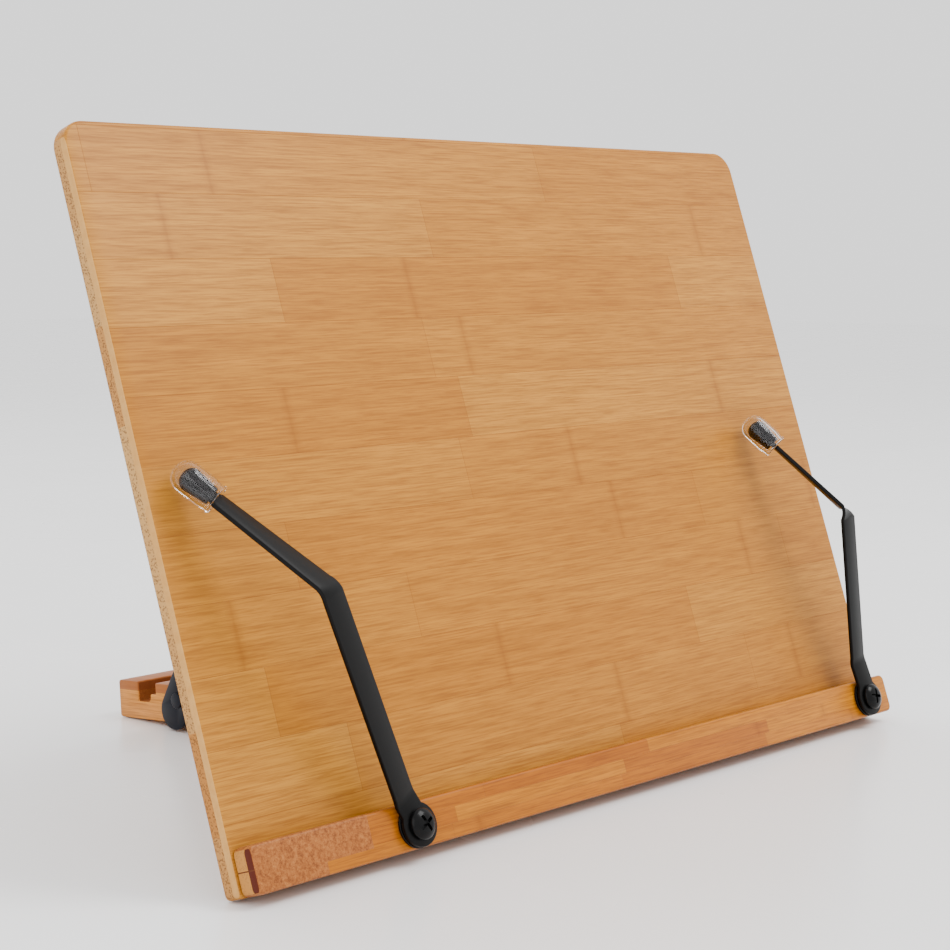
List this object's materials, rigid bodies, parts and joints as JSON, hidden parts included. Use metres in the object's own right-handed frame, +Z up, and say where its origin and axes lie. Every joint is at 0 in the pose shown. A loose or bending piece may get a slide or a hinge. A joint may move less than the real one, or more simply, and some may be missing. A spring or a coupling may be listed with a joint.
{
  "type": "folding book stand",
  "caption": "Folding bamboo book stand: a leaning board with a low front ledge, two bent steel page arms, and a hinged notched foot held by a steel prop.",
  "frame": {"origin": "middle of the bounding box, on the floor", "axes": "+X to the reader's right along the board, +Y away from the reader, +Z up"},
  "size_m": [0.34, 0.2388, 0.2266],
  "materials": {
    "board_bamboo": "bamboo strips glued side by side, fine sanded, thin satin lacquer",
    "ledge_bamboo": "honey-coloured bamboo strips with butt joints, satin lacquer",
    "foot_bamboo": "two bamboo laminations, satin lacquer, notches left bare and darker",
    "arm_steel": "satin black coating, edges slightly bright",
    "prop_steel": "smooth blue-black coating",
    "black_fixings": "glossy black cross-recess screws and discs",
    "dark_rubber": "smooth, glossy",
    "clear_plastic": "clear soft moulded plastic",
    "zinc_steel": "bright zinc plate"
  },
  "bodies": {
    "panel": {"back_board": "board_bamboo", "front_ledge": "ledge_bamboo", "ledge_screw_1": "zinc_steel", "ledge_screw_2": "zinc_steel", "ledge_screw_3": "zinc_steel", "ledge_screw_4": "zinc_steel", "left_arm_screw": "black_fixings", "left_arm_spacer": "black_fixings", "left_board_hinge_screw_1": "zinc_steel", "left_board_hinge_screw_2": "zinc_steel", "left_bracket_screw_1": "zinc_steel", "left_bracket_screw_2": "zinc_steel", "left_hinge_board_leaf": "zinc_steel", "left_hinge_pin": "zinc_steel", "left_pivot_rivet": "prop_steel", "left_prop_bracket": "prop_steel", "right_arm_screw": "black_fixings", "right_arm_spacer": "black_fixings", "right_board_hinge_screw_1": "zinc_steel", "right_board_hinge_screw_2": "zinc_steel", "right_bracket_screw_1": "zinc_steel", "right_bracket_screw_2": "zinc_steel", "right_hinge_board_leaf": "zinc_steel", "right_hinge_pin": "zinc_steel", "right_pivot_rivet": "prop_steel", "right_prop_bracket": "prop_steel"},
    "foot": {"foot_plate": "foot_bamboo", "left_foot_hinge_screw_1": "zinc_steel", "left_foot_hinge_screw_2": "zinc_steel", "left_hinge_foot_leaf": "zinc_steel", "prop_rod": "prop_steel", "right_foot_hinge_screw_1": "zinc_steel", "right_foot_hinge_screw_2": "zinc_steel", "right_hinge_foot_leaf": "zinc_steel"},
    "prop": {"left_prop_leg": "prop_steel", "left_rod_rivet": "prop_steel", "right_prop_leg": "prop_steel", "right_rod_rivet": "prop_steel"},
    "arm_left": {"left_arm_strip": "arm_steel", "left_tip_bead": "dark_rubber", "left_tip_sleeve": "clear_plastic"},
    "arm_right": {"right_arm_strip": "arm_steel", "right_tip_bead": "dark_rubber", "right_tip_sleeve": "clear_plastic"}
  },
  "joints": [
    {"name": "foot_hinge", "type": "hinge", "parent": "panel", "child": "foot", "pos_m": [0, -0.08784, 0.03195], "axis": [1, 0, 0], "range_deg": [-14.5, 74.5]},
    {"name": "prop_hinge", "type": "hinge", "parent": "panel", "child": "prop", "pos_m": [0, -0.02348, 0.20228], "axis": [1, 0, 0], "range_deg": [-47, 10]},
    {"name": "left_arm_pivot", "type": "hinge", "parent": "panel", "child": "arm_left", "pos_m": [-0.103, -0.11517, 0.01202], "axis": [0, -0.9455, 0.3256], "range_deg": [-104, 52]},
    {"name": "right_arm_pivot", "type": "hinge", "parent": "panel", "child": "arm_right", "pos_m": [0.1524, -0.11517, 0.01202], "axis": [0, -0.9455, 0.3256], "range_deg": [-88, 65]}
  ],
  "couplings": [
    {"joint": "prop_hinge", "follows": "foot_hinge", "ratio": -0.625}
  ]
}
